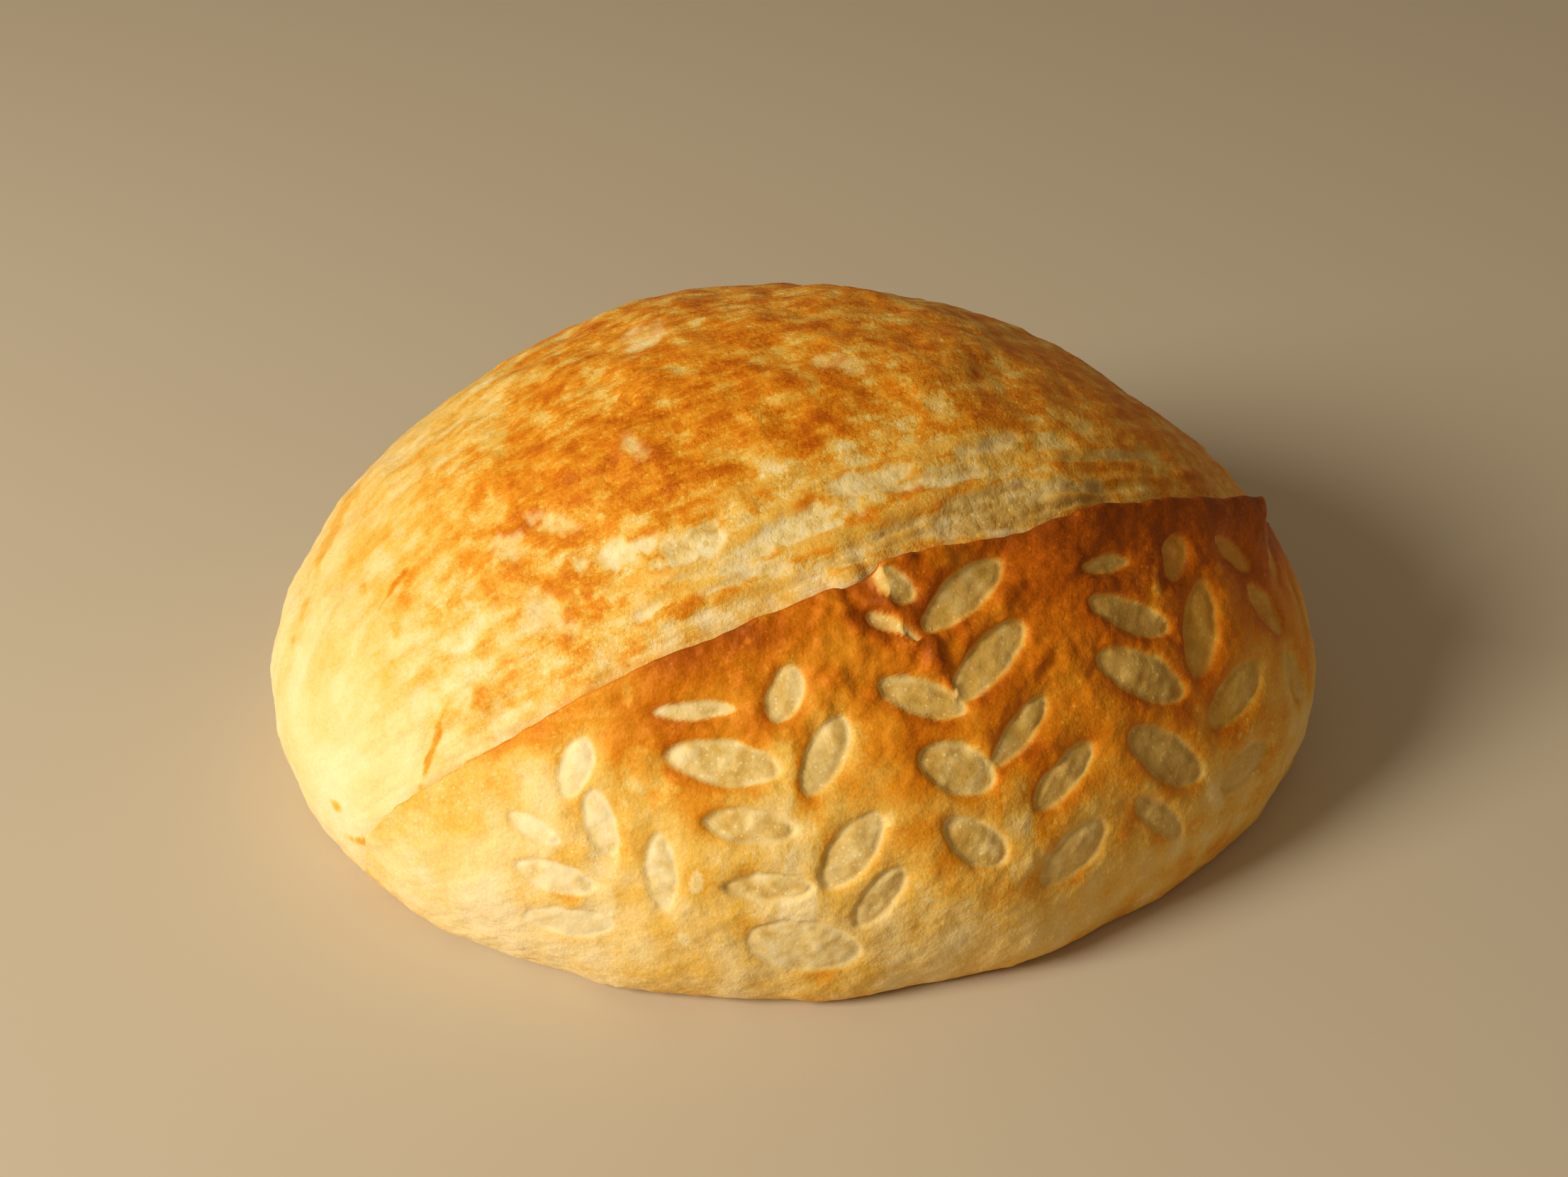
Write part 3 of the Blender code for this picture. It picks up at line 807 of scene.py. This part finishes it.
def dome_rows():
    """Rows of the dome across its columns: a few under the flap, then the crumb and crust behind the score."""
    p = np.linspace(-1, 1, DOME_COLUMNS)
    score = score_line(p)
    hidden = np.linspace(1, 0, DOME_ROWS_HIDDEN + 1)[:-1, None] ** 2
    shown = np.linspace(0, 1, DOME_ROWS)[:, None] ** DOME_CROWDING
    q = np.concatenate((score - (1 + score) * hidden, score + (1 - score) * shown))
    return np.broadcast_to(p, q.shape).copy(), q


def make_dome():
    """The risen dome: groove, torn windows, strands and flakes over its skin, a flat base, with its baking.

    The groove and the burst behind it are bells of the distance from the score. Rows in front of the score sink
    under the flap. Windows lie lower and show crumb, strands stand up across them, and flakes stand up alone.
    """
    p, q = dome_rows()
    at = skin(p, q)
    front = q < score_line(p) - 1e-9
    distance = at["distance"]
    points = at["dome"]
    rise = swell(points)
    groove = bump(distance, GROOVE_REACH) * GROOVE_DEPTH * np.minimum(at["lift"] / GROOVE_LIFT, 1)
    crease = bump(distance, CREASE_REACH) * CREASE_DEPTH
    rise -= groove + crease
    rise += np.where(front, 0, BURST_RISE * bump(distance - BURST_MIDDLE, BURST_REACH))
    points = raised(points, at, rise + unevenness(points))

    torn = bump(distance - TORN_MIDDLE, TORN_REACH) * within(TORN_SPAN, at["along"])
    followed = flow(at)
    strands = layered(followed, STRAND_WAVES)
    warp = layered(points, PATCH_EDGE_WAVES)
    window, golden = np.zeros((2, *p.shape))
    for patch in WINDOWS:
        slender = min(1, 3 * patch[3] / patch[2])
        window = np.maximum(window, patch_share(points, warp * slender, patch, WINDOW_FADE))
        golden = np.maximum(golden, patch_share(points, warp * slender, patch, GOLDEN_FADE))
    strand = strongest(points, 0.3 * warp, STRANDS, STRAND_FADE)
    groove_crumb = GROOVE_CRUMB * bump(distance, GROOVE_CRUMB_REACH) * within(GROOVE_CRUMB_SPAN, at["along"])
    window = np.maximum(window, groove_crumb) * (1 - strand)
    spared = np.ones(p.shape)
    for patch in BROWNED:
        spared *= 1 - 2 * patch_share(points, warp, patch, BROWNED_FADE)
    browned = 1 - spared
    flakes = strongest(points, warp, FLAKES, FLAKE_FADE)
    x, _, distance = in_mm(at)
    hills = smooth(*HILL_HEIGHTS, points[..., 2] / MM) * smooth(*HILL_DISTANCES, distance)
    pores, size = bubbles(points, PORE_SPACING, 65)
    pit = smooth(0.34, 0.12, pores) * smooth(0.55, 0.85, size) * window
    relief = TORN_RELIEF * strands * torn + STRAND_RISE * strand - WINDOW_DROP * window - PORE_DROP * pit
    relief += BROWNED_RISE * browned + FLAKE_RISE * flakes
    relief += hills * layered(points, HILL_WAVES) + WHOLE_RELIEF * (1 - torn) * strands
    points = raised(points, at, relief * MM)

    sunk = SINK_DEPTH * front * smooth(0, SINK_REACH, at["distance"])
    points = on_the_floor(points * (1 - sunk / np.maximum(length(points), 20 * MM))[..., None], at)

    broken = broken_share(at)
    tone = dome_tone(at, points, browned, torn, strands, broken)
    tone += GOLDEN_BAKE * golden * (1 - window) * smooth(0.6, 0.3, tone)
    tone += (STRAND_BAKE + STRAND_BAKE_RIGHT * smooth(20, 80, x) - tone) * 0.9 * strand
    loop = side_loop(*p.shape)
    rim = points.reshape(-1, 3)[loop]
    rings = [rim * (share, share, 0) for share in np.linspace(1, 0, RINGS)[1:-1]]
    ripe = between_knots(DOME_RIPE, x) + GROOVE_RIPE * smooth(12, 2, distance)
    ripe += layered(followed, RIPE_STRAND_WAVES) + layered(points, DOME_RIPE_WAVES)
    broken = broken * (1 - 0.7 * strand)
    values = {"bake": (tone, 1.0), "crumb": (window, 0.0), "ripe": (ripe, 1.0), "broken": (broken, 1.0)}
    return closed_mesh("risen_dome", points, rings, np.zeros(3), values, followed)


def broken_share(at):
    """How much the thin crust of the dome broke into flakes: most on the front of the top, least on the left."""
    x, z, _ = in_mm(at)
    return LEAST_BROKEN + between_knots(DOME_BROKEN, x) * smooth(25, 60, z)


def dome_tone(at, points, browned, torn, strands, broken):
    """How far the dome is baked: pale on its left flank and by the score, golden over the top, and its patches."""
    x, z, distance = in_mm(at)
    top = between_knots(DOME_BAKE_TOP, x)
    tone = top + (between_knots(DOME_BAKE_BY_SCORE, x) - top) * smooth(*BY_SCORE, distance)
    flank = smooth(*LEFT_FLANK_HEIGHTS, z)
    baked = np.where(x < 0, flank + (1 - flank) * smooth(*LEFT_FLANK_X, x), 1)
    tone *= LEFT_FLANK_BAKE + (1 - LEFT_FLANK_BAKE) * baked
    tone += TORN_BAKE * torn * broken * strands + layered(points, DOME_BAKE_WAVES)
    blotches = sum(strength * np.tanh(layered(points, (layer,), FINE_WAVES)) for strength, layer in BLOTCHES)
    tone += (WHOLE_BLOTCHES + BROKEN_BLOTCHES * broken) * blotches
    tone += (BROWN_PATCH_BAKE - tone) * browned
    return np.clip(tone, 0, FULLY_BAKED)


# Materials.


def linear(red, green, blue):
    """A colour as read off a paint chart, 0 to 255, as the shader's linear values."""
    shares = [value / 255 for value in (red, green, blue)]
    return tuple(s / 12.92 if s <= 0.04045 else ((s + 0.055) / 1.055) ** 2.4 for s in shares) + (1,)


def group(name, inputs, outputs):
    """An empty node group whose inputs are numbers, and its two end nodes."""
    tree = bpy.data.node_groups.new(name, "ShaderNodeTree")
    for label in inputs:
        tree.interface.new_socket(label, in_out="INPUT", socket_type="NodeSocketFloat")
    for label, kind in outputs:
        tree.interface.new_socket(label, in_out="OUTPUT", socket_type="NodeSocket" + kind)
    return tree, tree.nodes.new("NodeGroupInput"), tree.nodes.new("NodeGroupOutput")


def plug(tree, socket, value):
    """Join a socket to another, or give it a value."""
    if isinstance(value, bpy.types.NodeSocket):
        tree.links.new(value, socket)
    else:
        socket.default_value = value


def math_node(tree, kind, first, second=0.0, third=0.0):
    """A Math node of this kind, as its result."""
    node = tree.nodes.new("ShaderNodeMath")
    node.operation = kind
    for socket, value in zip(node.inputs, (first, second, third)):
        plug(tree, socket, value)
    return node.outputs[0]


def texture(tree, kind, scale, place=None):
    """A texture of this kind on the piece's own coordinates, or on other ones."""
    node = tree.nodes.new("ShaderNodeTex" + kind)
    plug(tree, node.inputs["Vector"], place or tree.nodes.new("ShaderNodeTexCoord").outputs["Object"])
    plug(tree, node.inputs["Scale"], scale)
    return node


def noise(tree, scale, detail, roughness, place=None):
    """Noise as its value from 0 to 1."""
    node = texture(tree, "Noise", scale, place)
    node.inputs["Detail"].default_value = detail
    node.inputs["Roughness"].default_value = roughness
    return node.outputs["Fac"]


def step_node(tree, value, low, high, lowest=0.0, highest=1.0):
    """A smooth step: lowest below low, highest above high."""
    node = tree.nodes.new("ShaderNodeMapRange")
    node.interpolation_type = "SMOOTHSTEP"
    for socket, amount in zip(node.inputs, (value, low, high, lowest, highest)):
        plug(tree, socket, amount)
    return node.outputs["Result"]


def ramp(tree, place, paints):
    """A colour ramp through (place, paint) stops."""
    node = tree.nodes.new("ShaderNodeValToRGB")
    elements = node.color_ramp.elements
    while len(elements) < len(paints):
        elements.new(0.5)
    for element, (position, paint) in zip(elements, paints):
        element.position = position
        element.color = linear(*paint)
    plug(tree, node.inputs["Fac"], place)
    return node.outputs["Color"]


def mix(tree, share, first, second):
    """Two colours mixed by a share."""
    node = tree.nodes.new("ShaderNodeMix")
    node.data_type = "RGBA"
    plug(tree, node.inputs[0], share)
    plug(tree, node.inputs[6], first)
    plug(tree, node.inputs[7], second)
    return node.outputs[2]


def dots(tree, scale, radius, softness):
    """Scattered round dots: 1 in each, fading over softness, where the distance to a cell's middle is small."""
    cell = texture(tree, "Voronoi", scale)
    own = tree.nodes.new("ShaderNodeSeparateColor")
    tree.links.new(cell.outputs["Color"], own.inputs["Color"])
    size = math_node(tree, "MULTIPLY", own.outputs["Red"], radius)
    return step_node(tree, math_node(tree, "SUBTRACT", size, cell.outputs["Distance"]), -softness, softness)


def attribute(tree, label, output="Fac"):
    """One of the piece's own attributes."""
    node = tree.nodes.new("ShaderNodeAttribute")
    node.attribute_name = label
    return node.outputs[output]


def bake_group():
    """Crust colour by how far it is baked, mottled coarsely and finely, with pale pinpoints.

    The tone is Bake + Broken * (Mottle * round patches + Flakes * patches along the score) + Grain * fine noise
    - Broken * Spots * pinpoints.
    """
    inputs = ("Bake", "Broken", "Mottle", "Flakes", "Grain", "Specks_and_glints")
    tree, start, end = group("bake_colour", inputs, (("Colour", "Color"), ("Height", "Float")))
    flowing = attribute(tree, "flow", "Vector")
    mottle = step_node(tree, noise(tree, MOTTLE_SCALE, 5.0, 0.72), 0.40, 0.60, -0.5, 0.5)
    torn = step_node(tree, noise(tree, TORN_SCALE, 4.0, 0.72, flowing), 0.40, 0.60, -0.5, 0.5)
    uneven = math_node(tree, "MULTIPLY", mottle, start.outputs["Mottle"])
    uneven = math_node(tree, "MULTIPLY_ADD", torn, start.outputs["Flakes"], uneven)
    uneven = math_node(tree, "MULTIPLY", uneven, start.outputs["Broken"])
    grain = math_node(tree, "SUBTRACT", noise(tree, GRAIN_SCALE, 4.0, 0.8), 0.5)
    tone = math_node(tree, "ADD", start.outputs["Bake"], uneven)
    tone = math_node(tree, "MULTIPLY_ADD", grain, start.outputs["Grain"], tone)
    # Pale pinpoints: partly pale specks of the crust, partly painted glints.
    coarse, fine = dots(tree, SPECK_AND_GLINT_SCALES[0], 0.24, 0.07), dots(tree, SPECK_AND_GLINT_SCALES[1], 0.30, 0.07)
    spots = math_node(tree, "MAXIMUM", coarse, fine)
    spots = math_node(tree, "MULTIPLY", spots, start.outputs["Specks_and_glints"])
    spots = math_node(tree, "MULTIPLY", spots, start.outputs["Broken"])
    tone = math_node(tree, "SUBTRACT", tone, spots)
    tree.links.new(ramp(tree, tone, BAKE_PAINTS), end.inputs["Colour"])
    tree.links.new(uneven, end.inputs["Height"])
    return tree


def froth_group():
    """Open crumb: fine bubbles bulging side by side, and scattered pores. Colour goes by how ripe it baked.

    A bubble's height is 1 minus its distance squared, once at Scale and once smaller, on bent coordinates.
    The colour has painted highlights on the bubble tops, painted glints as pale dots, and painted shade in the
    pores.
    """
    inputs = ("Ripe", "Scale", "Pores")
    tree, start, end = group("crumb_froth", inputs, (("Colour", "Color"), ("Height", "Float")))
    place = tree.nodes.new("ShaderNodeTexCoord").outputs["Object"]
    bend = texture(tree, "Noise", BEND_SCALE, place)
    bend.inputs["Detail"].default_value = 3.0
    bent = tree.nodes.new("ShaderNodeVectorMath")
    bent.operation = "MULTIPLY_ADD"
    for socket, value in zip(bent.inputs, (bend.outputs["Color"], (BEND_REACH,) * 3, place)):
        plug(tree, socket, value)
    heights = []
    for times in (1.0, 2.6):
        scale = math_node(tree, "MULTIPLY", start.outputs["Scale"], times)
        cell = texture(tree, "Voronoi", scale, bent.outputs[0])
        squared = math_node(tree, "MULTIPLY", cell.outputs["Distance"], cell.outputs["Distance"])
        heights.append(math_node(tree, "SUBTRACT", 1.0, squared))
    height = math_node(tree, "MULTIPLY_ADD", heights[1], 0.35, heights[0])
    height = math_node(tree, "MULTIPLY_ADD", noise(tree, FROTH_GRAIN_SCALE, 3.0, 0.6), 0.5, height)
    pores = math_node(tree, "MULTIPLY", dots(tree, PORE_SCALE, 0.26, 0.06), start.outputs["Pores"])
    height = math_node(tree, "SUBTRACT", height, pores)
    clouds = math_node(tree, "SUBTRACT", noise(tree, CLOUD_SCALE, 5.0, 0.7), 0.5)
    tone = math_node(tree, "ADD", clouds, start.outputs["Ripe"])
    # Bubble tops painted paler: painted highlights.
    tone = math_node(tree, "MULTIPLY_ADD", heights[0], -0.22, math_node(tree, "ADD", tone, 0.10))
    # Pale dots in the crumb: painted glints.
    tone = math_node(tree, "MULTIPLY_ADD", dots(tree, PAINTED_GLINT_SCALE, 0.30, 0.06), -0.35, tone)
    # Pores painted darker: painted shade inside the pits.
    tone = math_node(tree, "MULTIPLY_ADD", pores, 0.6, tone)
    tree.links.new(ramp(tree, tone, CRUMB_PAINTS), end.inputs["Colour"])
    tree.links.new(height, end.inputs["Height"])
    return tree


def skin_group():
    """Fine skin of a baked crust: shallow wrinkles and tiny blisters."""
    tree, start, end = group("crust_skin", ("Wrinkle", "Blister"), (("Height", "Float"),))
    wrinkle = math_node(tree, "MULTIPLY", noise(tree, WRINKLE_SCALE, 5.0, 0.6), start.outputs["Wrinkle"])
    blister = math_node(tree, "MULTIPLY", noise(tree, BLISTER_SCALE, 2.0, 0.5), start.outputs["Blister"])
    tree.links.new(math_node(tree, "ADD", wrinkle, blister), end.inputs["Height"])
    return tree


def use(tree, made_group, **values):
    """A copy of a node group in a material, with its values."""
    node = tree.nodes.new("ShaderNodeGroup")
    node.node_tree = made_group
    for label, value in values.items():
        plug(tree, node.inputs[label], value)
    return node


def bread_material(groups, name, skin_looks, crumb_looks, roughness, crust_bump, crumb_bump):
    """Baked crust that gives way to frothy crumb where the crumb attribute says.

    Next to the crumb the crust pales: bake * (1 - PALING * crumb). The two bumps are heights in metres.
    """
    material = bpy.data.materials.new(name)
    material.use_nodes = True
    tree = material.node_tree
    shader = tree.nodes["Principled BSDF"]
    share = attribute(tree, "crumb")
    left = math_node(tree, "MULTIPLY_ADD", share, -PALING, 1.0)
    paled = math_node(tree, "MULTIPLY", attribute(tree, "bake"), left)
    bake = use(tree, groups["bake"], Bake=paled, Broken=attribute(tree, "broken"), **skin_looks)
    froth = use(tree, groups["froth"], Ripe=attribute(tree, "ripe"), **crumb_looks)
    grain = use(tree, groups["skin"], Wrinkle=1.0, Blister=0.35)
    uneven = noise(tree, SHEEN_SCALE, 2.0, 0.5)
    height = tree.nodes.new("ShaderNodeMix")
    plug(tree, height.inputs[0], share)
    crust_height = math_node(tree, "MULTIPLY", grain.outputs["Height"], crust_bump / MM)
    plug(tree, height.inputs[2], math_node(tree, "MULTIPLY_ADD", bake.outputs["Height"], 0.5, crust_height))
    plug(tree, height.inputs[3], math_node(tree, "MULTIPLY", froth.outputs["Height"], crumb_bump / MM))
    relief = tree.nodes.new("ShaderNodeBump")
    relief.inputs["Strength"].default_value = 1.0
    relief.inputs["Distance"].default_value = MM
    tree.links.new(height.outputs[0], relief.inputs["Height"])
    looks = {
        "Base Color": mix(tree, share, bake.outputs["Colour"], froth.outputs["Colour"]),
        "Roughness": math_node(tree, "MULTIPLY_ADD", uneven, SHEEN_UNEVENNESS, roughness - SHEEN_UNEVENNESS / 2),
        "Normal": relief.outputs["Normal"],
        "Specular IOR Level": SHEEN,
        "Specular Tint": SHEEN_TINT,
    }
    for label, value in looks.items():
        plug(tree, shader.inputs[label], value)
    return material


# Camera, light and floor.


def add_camera():
    """The photograph's view: looking down at the loaf, rolled a little."""
    data = bpy.data.cameras.new("view")
    data.sensor_width = CAMERA_FILM
    data.lens = CAMERA_LENS
    data.clip_start = 10 * MM
    camera = bpy.data.objects.new("view", data)
    down = Matrix.Rotation(math.pi / 2 - CAMERA_FALL, 4, "X")
    camera.matrix_world = Matrix.Translation(CAMERA_PLACE) @ down @ Matrix.Rotation(CAMERA_ROLL, 4, "Z")
    bpy.context.scene.collection.objects.link(camera)
    bpy.context.scene.camera = camera


def add_floor():
    """A plain pale sheet under the loaf."""
    mesh = bpy.data.meshes.new("floor")
    corners = [(x * FLOOR_REACH, y * FLOOR_REACH, FLOOR_LEVEL) for x, y in ((-1, -1), (1, -1), (1, 1), (-1, 1))]
    mesh.from_pydata(corners, [], [(0, 1, 2, 3)])
    floor = bpy.data.objects.new("floor", mesh)
    material = bpy.data.materials.new("pale_floor")
    material.use_nodes = True
    shader = material.node_tree.nodes["Principled BSDF"]
    shader.inputs["Base Color"].default_value = linear(*FLOOR_PAINT)
    shader.inputs["Roughness"].default_value = 0.8
    mesh.materials.append(material)
    bpy.context.scene.collection.objects.link(floor)


def add_light():
    """A round, soft window aimed at the loaf, and an even warm room."""
    data = bpy.data.lights.new("window", "AREA")
    data.shape = "DISK"
    data.size = WINDOW_SIZE
    data.energy = WINDOW_POWER
    data.color = WINDOW_COLOUR
    light = bpy.data.objects.new("window", data)
    back = unit(np.array(WINDOW_PLACE) - np.array(WINDOW_AIM))
    side = unit(np.cross((0, 0, 1), back))
    light.matrix_world = Matrix(np.stack((side, np.cross(back, side), back), -1).tolist()).to_4x4()
    light.matrix_world.translation = WINDOW_PLACE
    bpy.context.scene.collection.objects.link(light)
    world = bpy.data.worlds.new("room")
    world.use_nodes = True
    background = world.node_tree.nodes["Background"]
    background.inputs["Color"].default_value = ROOM_COLOUR
    background.inputs["Strength"].default_value = ROOM_STRENGTH
    bpy.context.scene.world = world
    bpy.context.scene.view_settings.view_transform = "Standard"


def main():
    """Make both pieces, join them to the frame, and set the stage."""
    groups = {"bake": bake_group(), "froth": froth_group(), "skin": skin_group()}
    for piece, looks in ((make_flap(), FLAP_LOOKS), (make_dome(), DOME_LOOKS)):
        piece.data.materials.append(bread_material(groups, **looks))
        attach(piece, "root")
        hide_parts("loaf")
    add_floor()
    add_light()
    add_camera()


main()
